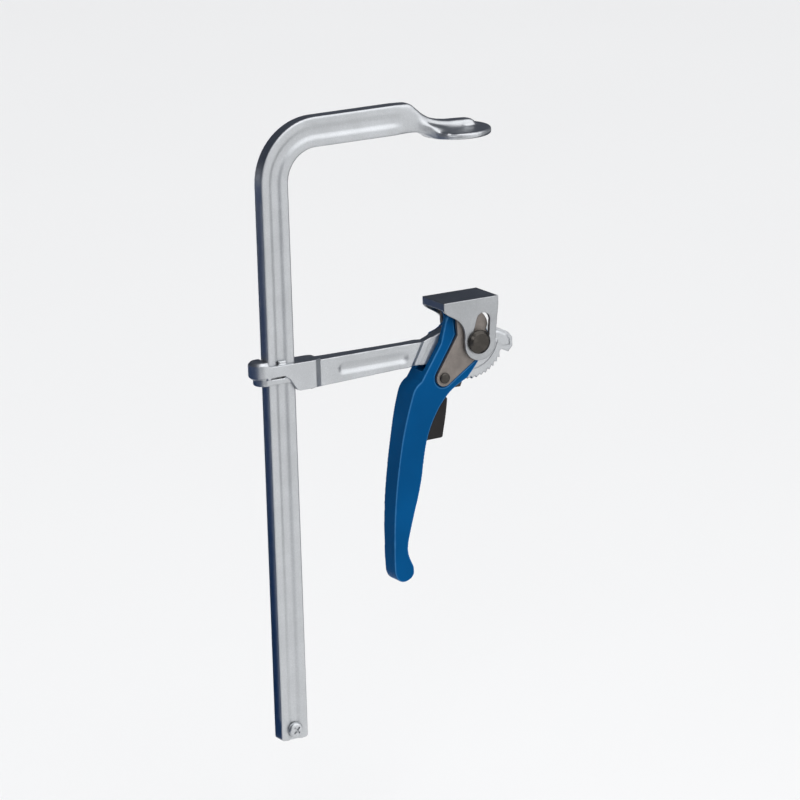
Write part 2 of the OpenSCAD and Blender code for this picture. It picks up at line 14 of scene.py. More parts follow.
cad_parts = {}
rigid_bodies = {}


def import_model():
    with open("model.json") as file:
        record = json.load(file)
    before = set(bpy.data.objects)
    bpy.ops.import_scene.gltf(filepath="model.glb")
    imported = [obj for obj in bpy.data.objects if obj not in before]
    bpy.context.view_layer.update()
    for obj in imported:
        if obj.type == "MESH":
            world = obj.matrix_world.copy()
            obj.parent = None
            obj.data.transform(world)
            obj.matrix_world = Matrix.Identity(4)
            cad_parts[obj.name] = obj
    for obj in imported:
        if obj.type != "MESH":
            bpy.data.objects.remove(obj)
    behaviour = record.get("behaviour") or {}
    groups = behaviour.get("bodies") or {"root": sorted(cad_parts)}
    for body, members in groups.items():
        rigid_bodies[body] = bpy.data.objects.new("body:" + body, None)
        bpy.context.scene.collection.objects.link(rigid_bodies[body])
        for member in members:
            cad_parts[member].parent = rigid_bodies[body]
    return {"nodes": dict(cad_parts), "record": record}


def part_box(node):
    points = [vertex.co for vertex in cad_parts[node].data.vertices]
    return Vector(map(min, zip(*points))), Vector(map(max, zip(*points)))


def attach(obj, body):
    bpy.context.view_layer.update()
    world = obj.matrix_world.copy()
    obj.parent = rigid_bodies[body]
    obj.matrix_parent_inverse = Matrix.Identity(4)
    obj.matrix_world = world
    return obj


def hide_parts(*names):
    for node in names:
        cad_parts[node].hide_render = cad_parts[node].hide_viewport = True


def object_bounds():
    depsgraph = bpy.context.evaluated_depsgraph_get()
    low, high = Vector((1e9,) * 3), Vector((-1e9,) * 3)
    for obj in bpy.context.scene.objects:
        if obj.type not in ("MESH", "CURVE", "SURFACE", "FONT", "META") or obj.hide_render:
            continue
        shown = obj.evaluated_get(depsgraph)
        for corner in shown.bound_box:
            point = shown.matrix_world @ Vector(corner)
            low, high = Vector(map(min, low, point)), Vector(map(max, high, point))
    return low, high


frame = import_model()
CAD_BOX = [list(corner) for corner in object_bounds()]

bl_info = {
    "name": "Lever Bar Clamp Dressing",
    "version": (1, 0, 0),
    "blender": (4, 5, 0),
    "location": "View3D > Sidebar > Clamp",
    "description": "Builds the finished surfaces of a quick release bar clamp on its packed frame",
    "category": "Object",
}

MM = 0.001
WELD = 0.001 * MM  # points closer than this are one point
THROAT = 0.121  # from the pad's centre to the rail's inner edge
RIDGE_SEAT = 0.1 * MM  # how far inside the rail's edges the serrations' centre lines lie
# A colour Mix node's sockets: its factor, its two colours and its result
MIX_FACTOR, MIX_LOW, MIX_HIGH, MIX_RESULT = 0, 6, 7, 2


# ---- places and names taken from the frame ----
def middle(node):
    """Centre of a CAD node's box."""
    low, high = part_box(node)
    return (low + high) / 2


RECORD = frame["record"]
BODY_OF = {node: body for body, nodes in RECORD["behaviour"]["bodies"].items() for node in nodes}
ARM_LOWEST = next(joint["range_m"][0] for joint in RECORD["behaviour"]["joints"]
                  if joint["name"] == "arm_slide")
RAIL_LOW, RAIL_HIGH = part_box("rail")
PIVOT = middle("pivot_pin")
LOCK = middle("lock_rivet")


def smooth_step(value, low, high):
    """0 below low and 1 above high, with a soft rise between."""
    part = min(1.0, max(0.0, (value - low) / (high - low)))
    return part * part * (3 - 2 * part)


def table_value(spot, table):
    """Value at a spot of a table of (spot, value), straight between its rows."""
    for (low, first), (high, second) in zip(table, table[1:]):
        if spot <= high:
            part = min(1.0, max(0.0, (spot - low) / (high - low)))
            return first + (second - first) * part
    return table[-1][1]


def depth_inside(outline, x, z):
    """Distance to the nearest edge of a clockwise outline, below zero outside it."""
    depth = math.inf
    for (x0, z0), (x1, z1) in zip(outline, outline[1:] + outline[:1]):
        run, rise = x1 - x0, z1 - z0
        depth = min(depth, ((x - x0) * rise - (z - z0) * run) / math.hypot(run, rise))
    return depth


# ---- meshes ----
def new_piece(name, mesh):
    """An object of a mesh in the scene."""
    piece = bpy.data.objects.new(name, mesh)
    bpy.context.scene.collection.objects.link(piece)
    return piece


def settle(piece):
    """Applies a piece's modifiers and returns it with a plain mesh."""
    graph = bpy.context.evaluated_depsgraph_get()
    graph.update()
    mesh = bpy.data.meshes.new_from_object(piece.evaluated_get(graph), depsgraph=graph)
    mesh.name = piece.name
    piece.modifiers.clear()
    piece.data = mesh
    return piece


def merged_copy(node, name):
    """A closed copy of a CAD node's mesh under a new name."""
    mesh = frame["nodes"][node].data.copy()
    mesh.name = name
    mesh.materials.clear()
    shape = bmesh.new()
    shape.from_mesh(mesh)
    bmesh.ops.remove_doubles(shape, verts=shape.verts, dist=WELD)
    for face in shape.faces:
        face.smooth = True
    shape.to_mesh(mesh)
    shape.free()
    for layer in [a.name for a in mesh.attributes if a.name in ("custom_normal", "sharp_face")]:
        mesh.attributes.remove(mesh.attributes[layer])
    return new_piece(name, mesh)


def remesh(piece, voxel):
    """Gives a piece an even skin with faces of one voxel."""
    modifier = piece.modifiers.new("Skin", "REMESH")
    modifier.mode = "VOXEL"
    modifier.voxel_size = voxel
    modifier.use_smooth_shade = True
    return settle(piece)


def soften(piece, passes, group=""):
    """Rounds the edges of an evenly skinned piece, or of a vertex group, as forging does."""
    modifier = piece.modifiers.new("Rounding", "SMOOTH")
    modifier.factor = 0.5
    modifier.iterations = passes
    modifier.vertex_group = group
    return settle(piece)


def forged(node, name, voxel, passes):
    """A CAD node with an even skin and rounded edges."""
    return soften(remesh(merged_copy(node, name), voxel), passes)


def turned(name, profile, centre, steps=72):
    """A round piece about an axis along Y: profile holds (radius, y) from end to end."""
    shape = bmesh.new()
    rings = []
    for radius, along in profile:
        if radius < WELD:
            rings.append([shape.verts.new((0, along, 0))])
            continue
        turn = [2 * math.pi * k / steps for k in range(steps)]
        rings.append([shape.verts.new((radius * math.cos(a), along, radius * math.sin(a)))
                      for a in turn])
    for first, second in zip(rings, rings[1:]):
        for k in range(steps):
            corners = [first[k % len(first)], first[(k + 1) % len(first)],
                       second[(k + 1) % len(second)], second[k % len(second)]]
            shape.faces.new(list(dict.fromkeys(corners)))
    for face in shape.faces:
        face.smooth = True
    bmesh.ops.recalc_face_normals(shape, faces=shape.faces)
    mesh = bpy.data.meshes.new(name)
    shape.to_mesh(mesh)
    shape.free()
    mesh.transform(Matrix.Translation(centre))
    return new_piece(name, mesh)


def fillet(corner, before, after, radius, steps=5):
    """Points that round one corner of a profile."""
    corner, before, after = Vector(corner), Vector(before), Vector(after)
    start = corner + (before - corner).normalized() * radius
    end = corner + (after - corner).normalized() * radius
    return [tuple((1 - t) ** 2 * start + 2 * t * (1 - t) * corner + t * t * end)
            for t in [k / steps for k in range(steps + 1)]]


def rounded_profile(points, radius):
    """A profile with each inner corner rounded."""
    out = [points[0]]
    for before, corner, after in zip(points, points[1:], points[2:]):
        out += fillet(corner, before, after, radius)
    return out + [points[-1]]


# ---- shader maths ----
class Wire:
    """One value of a material, on which plain arithmetic adds Math nodes."""

    def __init__(self, tree, socket):
        self.tree = tree
        self.socket = socket

    def _math(self, operation, *values):
        node = self.tree.nodes.new("ShaderNodeMath")
        node.operation = operation
        for slot, value in zip(node.inputs, values):
            plug(self.tree, value, slot)
        return Wire(self.tree, node.outputs[0])

    def __add__(self, other):
        return self._math("ADD", self, other)

    def __mul__(self, other):
        return self._math("MULTIPLY", self, other)

    __radd__ = __add__

    def step(self, low, high):
        """0 below low and 1 above high, with a soft rise between."""
        node = self.tree.nodes.new("ShaderNodeMapRange")
        node.interpolation_type = "SMOOTHSTEP"
        plug(self.tree, self, node.inputs["Value"])
        node.inputs["From Min"].default_value = low
        node.inputs["From Max"].default_value = high
        return Wire(self.tree, node.outputs[0])


def plug(tree, value, slot):
    """Links a wire to a socket, or sets a plain value on it."""
    if isinstance(value, Wire):
        tree.links.new(value.socket, slot)
    else:
        slot.default_value = value


class Finish:
    """A procedural material: one shader and the wires that feed it."""

    def __init__(self, name, **constants):
        self.material = bpy.data.materials.new(name)
        self.material.use_nodes = True
        self.tree = self.material.node_tree
        self.tree.nodes.clear()
        self.shader = self.tree.nodes.new("ShaderNodeBsdfPrincipled")
        out = self.tree.nodes.new("ShaderNodeOutputMaterial")
        self.tree.links.new(self.shader.outputs[0], out.inputs[0])
        self.place = self.add("ShaderNodeTexCoord", output="Object")
        for socket, value in constants.items():
            self.shader.inputs[socket.replace("_", " ")].default_value = value

    def add(self, kind, settings=None, values=None, output=0):
        """Any node: its settings first, then the values or links of its sockets."""
        node = self.tree.nodes.new(kind)
        for key, value in (settings or {}).items():
            setattr(node, key, value)
        for key, value in (values or {}).items():
            plug(self.tree, value, node.inputs[key])
        return Wire(self.tree, node.outputs[output])

    def feed(self, **wires):
        """Links wires to the shader's sockets."""
        for socket, wire in wires.items():
            plug(self.tree, wire, self.shader.inputs[socket.replace("_", " ")])

    def stretched(self, scale):
        """The place in the piece, squeezed along each axis."""
        return self.add("ShaderNodeMapping", {}, {"Vector": self.place, "Scale": scale})

    def noise(self, scale, detail=3.0, roughness=0.55, stretch=None):
        """Soft noise with about scale bumps to the metre."""
        spot = self.stretched(stretch) if stretch else self.place
        return self.add("ShaderNodeTexNoise", {},
                        {"Vector": spot, "Scale": scale, "Detail": detail,
                         "Roughness": roughness}, "Fac")

    def cells(self, scale):
        """Rounded cells, about scale to the metre."""
        return self.add("ShaderNodeTexVoronoi", {"feature": "F1"},
                        {"Vector": self.place, "Scale": scale}, "Distance")

    def mix(self, mask, low, high):
        """A colour between low and high."""
        return self.add("ShaderNodeMix", {"data_type": "RGBA"},
                        {MIX_FACTOR: mask, MIX_LOW: low, MIX_HIGH: high}, MIX_RESULT)

    def edges(self, low, high):
        """1 on sharp outer edges and 0 on flats."""
        return self.add("ShaderNodeNewGeometry", output="Pointiness").step(low, high)

    def bump(self, height, distance):
        """A normal from a height that stands for so many metres."""
        return self.add("ShaderNodeBump", {},
                        {"Height": height, "Distance": distance, "Strength": 1.0}, "Normal")


def shade(colour, factor=1.0):
    """An opaque colour made darker or lighter."""
    return [min(1.0, c * factor) for c in colour[:3]] + [1.0]


# ---- finishes ----
def zinc_finish(name, looks, grain, streaks=0.0, tone=1.0):
    """Bright zinc plate over forged or rolled steel."""
    base = shade(looks.zinc, tone)
    finish = Finish(name, Metallic=1.0)
    cloud = finish.noise(45, 4.0, 0.6)
    grit = finish.noise(grain, 2.0, 0.5)
    spangle = finish.cells(grain * 0.8)
    drawn = finish.noise(60, 2.0, 0.5, stretch=(14, 14, 0.6))
    blend = cloud * 0.45 + grit * 0.3 + spangle * 0.15 + drawn * streaks
    colour = finish.mix(blend.step(0.3, 0.75 + streaks * 0.5), shade(base, 0.82),
                        shade(base, 1.08))
    finish.feed(
        Base_Color=colour,
        Roughness=looks.zinc_roughness - 0.05 + cloud * 0.07 + grit * 0.06,
        Normal=finish.bump(grit * 0.6 + spangle * 0.25 + cloud * 0.8 + drawn * streaks,
                           0.05 * MM))
    return finish.material


def paint_finish(looks):
    """Semi-gloss powder coat with a faint orange peel, and a painted highlight of lighter blue
    along its sharp edges.
    """
    base = shade(looks.paint)
    finish = Finish("blue_paint", Specular_IOR_Level=0.03, Coat_Roughness=0.15)
    peel = finish.noise(520, 2.0, 0.5)
    cloud = finish.noise(22, 3.0, 0.5)
    dust = finish.noise(2600, 1.0, 0.5)
    coat = finish.mix(cloud.step(0.3, 0.7), shade(base, 0.9), shade(base, 1.1))
    # Sharp edges get a lighter blue and more coat: a painted highlight along the edges
    edge_highlight = finish.edges(0.508, 0.54)
    finish.feed(
        Base_Color=finish.mix(edge_highlight * (0.5 + peel * 0.6), coat, shade(looks.paint_edge_highlight)),
        Roughness=looks.paint_roughness + peel * 0.08 + dust * 0.04,
        Coat_Weight=0.005 + edge_highlight * 0.2 + cloud * 0.01,
        Normal=finish.bump(peel * 0.8 + dust * 0.12, 0.035 * MM))
    return finish.material


def cam_finish(looks):
    """Blasted grey-brown steel, with a painted highlight along its sharp edges."""
    base = shade(looks.cam)
    finish = Finish("cam_steel", Metallic=0.75)
    grit = finish.noise(1900, 2.0, 0.6)
    cloud = finish.noise(70, 4.0, 0.6)
    stain = finish.noise(190, 3.0, 0.6)
    tone = cloud * 0.5 + stain * 0.3 + grit * 0.2
    finish.feed(
        # Sharp edges are painted lighter: a painted highlight along the plates' rims
        Base_Color=finish.mix(tone.step(0.35, 0.65) + finish.edges(0.505, 0.56) * 0.7,
                              shade(base, 0.8), shade(base, 1.15)),
        Roughness=0.46 + grit * 0.12,
        Normal=finish.bump(grit + stain * 0.5, 0.04 * MM))
    return finish.material


def dark_finish(looks):
    """Blackened steel of the pins and the pawl, brighter where it is rubbed."""
    base = shade(looks.dark)
    finish = Finish("dark_steel", Metallic=0.85)
    grit = finish.noise(1500, 2.0, 0.6)
    rub = finish.noise(160, 4.0, 0.65)
    finish.feed(
        Base_Color=finish.mix(rub.step(0.42, 0.7), shade(base, 0.9), shade(base, 1.25)),
        Roughness=0.24 + grit * 0.1,
        Normal=finish.bump(grit * 0.7 + rub * 0.15, 0.025 * MM))
    return finish.material


def cover_finish(looks):
    """Satin moulded plastic."""
    base = shade(looks.cover)
    finish = Finish("black_cover", Specular_IOR_Level=0.25)
    grain = finish.noise(1300, 2.0, 0.6)
    cloud = finish.noise(60, 3.0, 0.5)
    finish.feed(
        Base_Color=finish.mix(cloud.step(0.35, 0.65), shade(base, 0.85), shade(base, 1.25)),
        Roughness=0.42 + grain * 0.14,
        Normal=finish.bump(grain, 0.03 * MM))
    return finish.material


def wire_finish(looks):
    """Drawn spring wire."""
    base = shade(looks.zinc)
    finish = Finish("spring_wire", Metallic=1.0)
    drawn = finish.noise(900, 2.0, 0.5)
    finish.feed(
        Base_Color=finish.mix(drawn, shade(base, 0.55), shade(base, 0.75)),
        Roughness=0.24 + drawn * 0.12,
        Normal=finish.bump(drawn, 0.01 * MM))
    return finish.material


def floor_finish(looks):
    """Pale matt floor."""
    base = shade(looks.floor)
    finish = Finish("studio_floor", Specular_IOR_Level=0.2)
    cloud = finish.noise(1.5, 2.0, 0.5)
    finish.feed(
        Base_Color=finish.mix(cloud, shade(base, 0.99), shade(base, 1.0)),
        Roughness=0.62 + cloud * 0.06)
    return finish.material


def finish_piece(piece, material, node, replaced=()):
    """Paints a piece, makes it ride on its node's body and hides what it stands for."""
    piece.data.materials.clear()
    piece.data.materials.append(material)
    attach(piece, BODY_OF[node])
    if replaced:
        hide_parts(*replaced)


# ---- geometry node trees ----
class Grower:
    """A geometry node tree with named inputs, laid out in code."""

    KINDS = {float: "NodeSocketFloat", int: "NodeSocketInt", "material": "NodeSocketMaterial"}

    def __init__(self, name, **inputs):
        self.tree = bpy.data.node_groups.new(name, "GeometryNodeTree")
        self.values = inputs
        self.ids = {}
        self.tree.interface.new_socket("Path", in_out="INPUT",
                                       socket_type="NodeSocketGeometry")
        for key, value in inputs.items():
            kind = "material" if isinstance(value, bpy.types.Material) else type(value)
            socket = self.tree.interface.new_socket(key, in_out="INPUT",
                                                    socket_type=self.KINDS[kind])
            self.ids[key] = socket.identifier
        self.tree.interface.new_socket("Geometry", in_out="OUTPUT",
                                       socket_type="NodeSocketGeometry")
        self.source = self.tree.nodes.new("NodeGroupInput")

    def __getitem__(self, key):
        """The socket of one named input."""
        return self.source.outputs[key]

    def add(self, kind, settings=None, values=None, output=0):
        """Any node: its settings first, then the values or links of its sockets."""
        node = self.tree.nodes.new(kind)
        for key, value in (settings or {}).items():
            setattr(node, key, value)
        for key, value in (values or {}).items():
            if isinstance(value, bpy.types.NodeSocket):
                self.tree.links.new(value, node.inputs[key])
            else:
                node.inputs[key].default_value = value
        return node.outputs[output]

    def grow(self, name, shapes, path=None):
        """Joins the shapes, realizes them, paints them and returns a plain piece."""
        join = self.tree.nodes.new("GeometryNodeJoinGeometry")
        for shape in shapes:
            self.tree.links.new(shape, join.inputs[0])
        real = self.add("GeometryNodeRealizeInstances", {}, {0: join.outputs[0]})
        smooth = self.add("GeometryNodeSetShadeSmooth", {}, {0: real})
        painted = self.add("GeometryNodeSetMaterial", {},
                           {"Geometry": smooth, "Material": self["Material"]})
        out = self.tree.nodes.new("NodeGroupOutput")
        self.tree.links.new(painted, out.inputs[0])
        piece = new_piece(name, path or bpy.data.meshes.new(name))
        modifier = piece.modifiers.new("Grower", "NODES")
        modifier.node_group = self.tree
        for key, value in self.values.items():
            modifier[self.ids[key]] = value
        return settle(piece)


def serrations(sizes, material):
    """Fine ridges across both narrow edges of the rail, where the arm bites."""
    top = RAIL_HIGH.z - sizes.serration_top
    low = RAIL_LOW.z + sizes.serration_foot
    count = int((top - low) / sizes.serration_pitch)
    grower = Grower("rail_serrations", Count=count, Pitch=sizes.serration_pitch,
                    Radius=sizes.serration_size, Length=sizes.serration_length,
                    Material=material)
    ridge = grower.add("GeometryNodeMeshCylinder", {},
                       {"Vertices": 3, "Radius": grower["Radius"], "Depth": grower["Length"]})
    rise = grower.add("ShaderNodeCombineXYZ", {}, {"Z": grower["Pitch"]})
    rows = []
    for edge, turn in ((sizes.rail_inner, math.pi / 2), (sizes.rail_outer, -math.pi / 2)):
        row = grower.add("GeometryNodeMeshLine", {"mode": "OFFSET"},
                         {"Count": grower["Count"], "Start Location": (edge, 0, low),
                          "Offset": rise})
        rows.append(grower.add("GeometryNodeInstanceOnPoints", {},
                               {"Points": row, "Instance": ridge,
                                "Rotation": (math.pi / 2, turn, 0)}))
    return grower.grow("rail_serrations", rows)


def spring_path(sizes):
    """The wire's path: in along one leg, round the lock rivet and out along the other."""
    coil, half = sizes.spring_radius, sizes.spring_height / 2
    steps = 80

    def touch(leg, side):
        """Direction in which a straight leg meets the coil."""
        return math.atan2(leg.y, leg.x) + side * math.acos(coil / leg.length)

    first_leg, last_leg = Vector(sizes.lever_leg), Vector(sizes.tail_leg)
    first = touch(first_leg, 1)
    last = touch(last_leg, -1) + 2 * math.pi * sizes.spring_turns
    points = [Vector((first_leg.x, -half, first_leg.y))]
    for k in range(steps + 1):
        turn = first + (last - first) * k / steps
        along = half * (2 * k / steps - 1)
        points.append(Vector((coil * math.cos(turn), along, coil * math.sin(turn))))
    points.append(Vector((last_leg.x, half, last_leg.y)))
    mesh = bpy.data.meshes.new("spring_path")
    mesh.from_pydata([LOCK + p for p in points],
                     [(k, k + 1) for k in range(len(points) - 1)], [])
    return mesh


def spring_coil(sizes, material):
    """The wire spring round the lock rivet, with one leg on the lever and one on the tail."""
    grower = Grower("pawl_spring_coil", Wire=sizes.spring_wire / 2, Material=material)
    wire = grower.add("GeometryNodeMeshToCurve", {}, {"Mesh": grower["Path"]})
    section = grower.add("GeometryNodeCurvePrimitiveCircle", {"mode": "RADIUS"},
                         {"Resolution": 12, "Radius": grower["Wire"]})
    swept = grower.add("GeometryNodeCurveToMesh", {},
                       {"Curve": wire, "Profile Curve": section, "Fill Caps": True})
    return grower.grow("pawl_spring_coil", [swept], spring_path(sizes))


# ---- settings ----
def length(name, value, description):
    """A setting in metres."""
    return bpy.props.FloatProperty(name=name, description=description, default=value,
                                   unit="LENGTH", precision=5)


def tint(name, value, description):
    """A colour as a setting."""
    return bpy.props.FloatVectorProperty(name=name, description=description, default=value,
                                         subtype="COLOR", size=3, min=0.0, max=1.0)


def gloss(name, value, description):
    """A setting from 0 to 1."""
    return bpy.props.FloatProperty(name=name, description=description, default=value,
                                   min=0.0, max=1.0, subtype="FACTOR")


class ClampSizes(bpy.types.PropertyGroup):
    """Sizes of what the dressing adds to the frame."""

    forging_skin: length("Forging skin", 0.45 * MM, "Face size on the forged pieces")
    rail_skin: length("Rail skin", 0.62 * MM, "Face size on the rail")
    plate_skin: length("Plate skin", 0.3 * MM, "Face size on the plates and small pieces")
    screw_skin: length("Screw skin", 0.14 * MM, "Face size on the stop screw")
    rivet_skin: length("Rivet skin", 0.16 * MM, "Face size on the cover's rivet")
    rail_width: length("Rail width", 19 * MM, "Width of the rail section")
    rail_thickness: length("Rail thickness", 9.5 * MM, "Thickness of the rail section")
    groove_depth: length("Groove depth", 0.85 * MM, "Depth of the rolled groove")
    bend_radius: length("Bend radius", 29.5 * MM, "Radius of the bend's centre line")
    arm_level: length("Arm level", 14.3 * MM, "Height of the fixed arm's centre line")
    neck_start: length("Neck start", -37 * MM, "Where the fixed arm starts to neck")
    serration_pitch: length("Serration pitch", 1.25 * MM, "Distance from ridge to ridge")
    serration_size: length("Serration size", 0.3 * MM, "Radius of a ridge's section")
    serration_length: length("Serration length", 7.6 * MM, "Length of a ridge")
    serration_top: length("Serration top", 48 * MM, "Ridges end this far below the rail's top")
    serration_foot: length("Serration foot", 14 * MM, "Ridges begin this far over the rail's foot")
    rail_inner: length("Inner edge", -THROAT - RIDGE_SEAT, "Where the inner row of ridges sits")
    rail_outer: length("Outer edge", RAIL_LOW.x + RIDGE_SEAT, "Where the outer row sits")
    bulge: length("Cheek rise", 1.5 * MM, "How far the cheeks stand proud round the cam plates")
    recess_gap: length("Recess gap", 0.5 * MM, "Room round a cam plate in its recess")
    spring_wire: length("Spring wire", 0.9 * MM, "Diameter of the pawl spring's wire")
    spring_radius: length("Spring radius", 3.5 * MM, "Radius of the coil's centre line")
    spring_height: length("Spring height", 1.99 * MM, "Length of the coil along the rivet")
    spring_turns: bpy.props.IntProperty(name="Spring turns", default=2,
                                        description="Full turns between the legs' directions")
    lever_leg: bpy.props.FloatVectorProperty(
        name="Lever leg", description="End of the leg on the lever, from the rivet", size=2,
        default=(-10.9 * MM, -5.3 * MM), subtype="COORDINATES", precision=5)
    tail_leg: bpy.props.FloatVectorProperty(
        name="Tail leg", description="End of the leg on the pawl's tail, from the rivet", size=2,
        default=(-5.2 * MM, -12 * MM), subtype="COORDINATES", precision=5)


class ClampLooks(bpy.types.PropertyGroup):
    """Colours and gloss of the clamp's finishes."""

    zinc: tint("Zinc", (0.565, 0.58, 0.595), "Bright zinc plate")
    zinc_roughness: gloss("Zinc roughness", 0.39, "Roughness of the zinc plate")
    paint: tint("Paint", (0.0, 0.055, 0.168), "Powder coat of the lever")
    # Lighter blue painted along the lever's edges as a painted highlight
    paint_edge_highlight: tint("Paint on edges", (0.03, 0.15, 0.34), "Powder coat thinned on edges")
    paint_roughness: gloss("Paint roughness", 0.34, "Roughness of the powder coat")
    cam: tint("Cam plates", (0.225, 0.2, 0.182), "Blasted steel of the cam plates")
    dark: tint("Pins", (0.062, 0.056, 0.05), "Blackened steel of the pins")
    cover: tint("Trigger", (0.0075, 0.0064, 0.0064), "Moulded cover of the trigger")
    floor: tint("Floor", (0.86, 0.86, 0.86), "Studio floor")


class ClampStage(bpy.types.PropertyGroup):
    """Camera and light."""

    camera_place: bpy.props.FloatVectorProperty(
        name="Camera place", description="Where the camera stands", size=3,
        default=(-1.4953, -2.5381, 0.5960), subtype="TRANSLATION")
    yaw: bpy.props.FloatProperty(name="Yaw", description="Turn of the camera from +Y towards +X",
                                 default=math.radians(29.737), subtype="ANGLE")
    pitch: bpy.props.FloatProperty(name="Pitch", description="How far the camera looks down",
                                   default=math.radians(14.557), subtype="ANGLE")
    roll: bpy.props.FloatProperty(name="Roll", description="Turn of the picture",
                                  default=math.radians(1.766), subtype="ANGLE")
    lens: bpy.props.FloatProperty(name="Lens", description="Focal length in millimetres",
                                  default=218.98)
    floor_size: length("Floor size", 30.0, "Side of the studio floor")


# ---- operators ----
class PieceOperator:
    """What the operators of the pieces share."""

    bl_options = {"REGISTER", "UNDO"}

    @property
    def sizes(self):
        return bpy.context.scene.clamp_sizes

    @property
    def looks(self):
        return bpy.context.scene.clamp_looks

    def join(self, piece, mesh):
        """Adds a mesh to a piece, so that one skin can cover both."""
        shape = bmesh.new()
        shape.from_mesh(piece.data)
        shape.from_mesh(mesh)
        shape.to_mesh(piece.data)
        shape.free()
        bpy.data.meshes.remove(mesh)
        return piece


class CLAMP_OT_rail(PieceOperator, bpy.types.Operator):
    """Rolled rail with the forged fixed arm and pad, and its edge serrations"""

    bl_idname = "clamp.rail"
    bl_label = "Rail"

    # In millimetres, but for counts and powers. Neck: (x, half width, height of its edges,
    # height of its crest, height of its underside), how its crest is rounded, and how far its
    # underside is drawn in
    NECK = ((-38.5, 4.7, 23.4, 23.7, 4.9), (-34.5, 4.75, 22.4, 23.0, 4.9),
            (-31, 4.9, 18.6, 20.2, 4.8), (-28, 5.5, 14.2, 16.6, 4.2), (-25, 6.5, 10.4, 13.6, 2.8),
            (-21.5, 7.6, 6.8, 11.8, 1.0), (-17.5, 8.6, 4.4, 10.4, 0.6),
            (-12, 9.2, 3.6, 9.4, 0.6), (-6, 8.6, 3.4, 8.8, 0.6), (2, 7.2, 3.2, 8.2, 0.6))
    CREST_STEPS = 12
    CREST_ROUND = 1.6
    NECK_DRAFT = 0.5
    # (x, half width) of what stands on the pad, the height of the pad's flat top, and where
    # that top sets in along x and beside the neck
    ON_PAD = ((-24, 7.2), (-21.5, 7.6), (-17.5, 8.2), (-12, 8.8), (-6, 8.4), (2, 7), (8, 4.6))
    PAD_TOP = 4.0
    PAD_ALONG = (-24, -20)
    PAD_BESIDE = (0, 3.5)
    # Where the blend of neck and pad sets in along x, in height, behind the pad's centre and in
    # from the pad's rim, and its smoothing passes
    BLEND_ALONG = (-46, -36)
    BLEND_HEIGHT = (1, 3.8)
    BLEND_BEHIND = (8, 14)
    BLEND_RADIUS = 21
    BLEND_RIM = (0, 1.5)
    BLEND_PASSES = 60
    # Again in metres: half width of the band with the groove, depth of the skin that is moved,
    # the soft wall's distances from the centre line and the length over which the groove fades
    GROOVE_BAND = 6 * MM
    GROOVE_SKIN = 1.1 * MM
    GROOVE_WALL = (1.4 * MM, 4.9 * MM)
    GROOVE_FADE = 12 * MM

    def execute(self, context):
        zinc = zinc_finish("zinc_rail", self.looks, 1500, streaks=0.08)
        bar = self.join(merged_copy("rail", "rail_bar"), self.neck_loft())
        remesh(bar, self.sizes.rail_skin)
        for vertex in bar.data.vertices:
            self.roll_groove(vertex)
        soften(bar, 4)
        for vertex in bar.data.vertices:
            self.clear_pad(vertex)
        self.blend_neck(bar)
        finish_piece(bar, zinc, "rail", ["rail"])
        finish_piece(serrations(self.sizes, zinc), zinc, "rail")
        return {"FINISHED"}

    def neck_loft(self):
        """The forged neck that spreads from the arm down onto the pad, with a crest."""
        shape = bmesh.new()
        rings = []
        arc = [math.pi * k / self.CREST_STEPS for k in range(self.CREST_STEPS + 1)]
        for x, half, edge, crest, low in self.NECK:
            rise = crest - edge
            upper = [(half * math.cos(a), edge + rise * math.sin(a) ** self.CREST_ROUND)
                     for a in arc]
            foot = half - self.NECK_DRAFT
            outline = upper + [(-foot, low), (foot, low)]
            rings.append([shape.verts.new((x * MM, y * MM, z * MM)) for y, z in outline])
        for first, second in zip(rings, rings[1:]):
            for k in range(len(first)):
                n = (k + 1) % len(first)
                shape.faces.new((first[k], first[n], second[n], second[k]))
        shape.faces.new(rings[0])
        shape.faces.new(list(reversed(rings[-1])))
        bmesh.ops.recalc_face_normals(shape, faces=shape.faces)
        mesh = bpy.data.meshes.new("neck_loft")
        shape.to_mesh(mesh)
        shape.free()
        return mesh

    def clear_pad(self, vertex):
        """Lets the pad's top run flat to its rim beside the neck and the rib."""
        x, y, z = vertex.co / MM
        if x > self.PAD_ALONG[0] and z > self.PAD_TOP:
            beside = smooth_step(abs(y) - table_value(x, self.ON_PAD), *self.PAD_BESIDE)
            along = smooth_step(x, *self.PAD_ALONG)
            vertex.co.z -= (z - self.PAD_TOP) * beside * along * MM

    def blend_neck(self, bar):
        """Runs the neck and the rib smoothly into the top of the pad."""
        group = bar.vertex_groups.new(name="neck")
        for vertex in bar.data.vertices:
            x, y, z = vertex.co / MM
            if x > self.BLEND_ALONG[0] and z > 0:
                room = self.BLEND_RADIUS - math.hypot(x, y)
                inside = max(smooth_step(-x, *self.BLEND_BEHIND),
                             smooth_step(room, *self.BLEND_RIM))
                along = smooth_step(x, *self.BLEND_ALONG)
                weight = inside * along * smooth_step(z, *self.BLEND_HEIGHT)
                group.add([vertex.index], weight, "REPLACE")
        soften(bar, self.BLEND_PASSES, group.name)
        bar.vertex_groups.clear()

    def roll_groove(self, vertex):
        """Turns the groove's sharp walls into the soft ones of a rolled bar."""
        sizes = self.sizes
        x, y, z = vertex.co
        if x > sizes.neck_start:
            return
        centre = RAIL_LOW.x + sizes.rail_width / 2
        bend = Vector((centre + sizes.bend_radius, sizes.arm_level - sizes.bend_radius))
        if z < bend.y:
            off = x - centre
        elif x < bend.x:
            off = math.hypot(x - bend.x, z - bend.y) - sizes.bend_radius
        else:
            off = z - sizes.arm_level
        face = sizes.rail_thickness / 2
        if abs(off) > self.GROOVE_BAND or abs(y) < face - self.GROOVE_SKIN:
            return
        fade = smooth_step(x, sizes.neck_start - self.GROOVE_FADE, sizes.neck_start)
        sunk = (1 - smooth_step(abs(off), *self.GROOVE_WALL)) * (1 - fade)
        vertex.co.y = math.copysign(face - sizes.groove_depth * sunk, y)


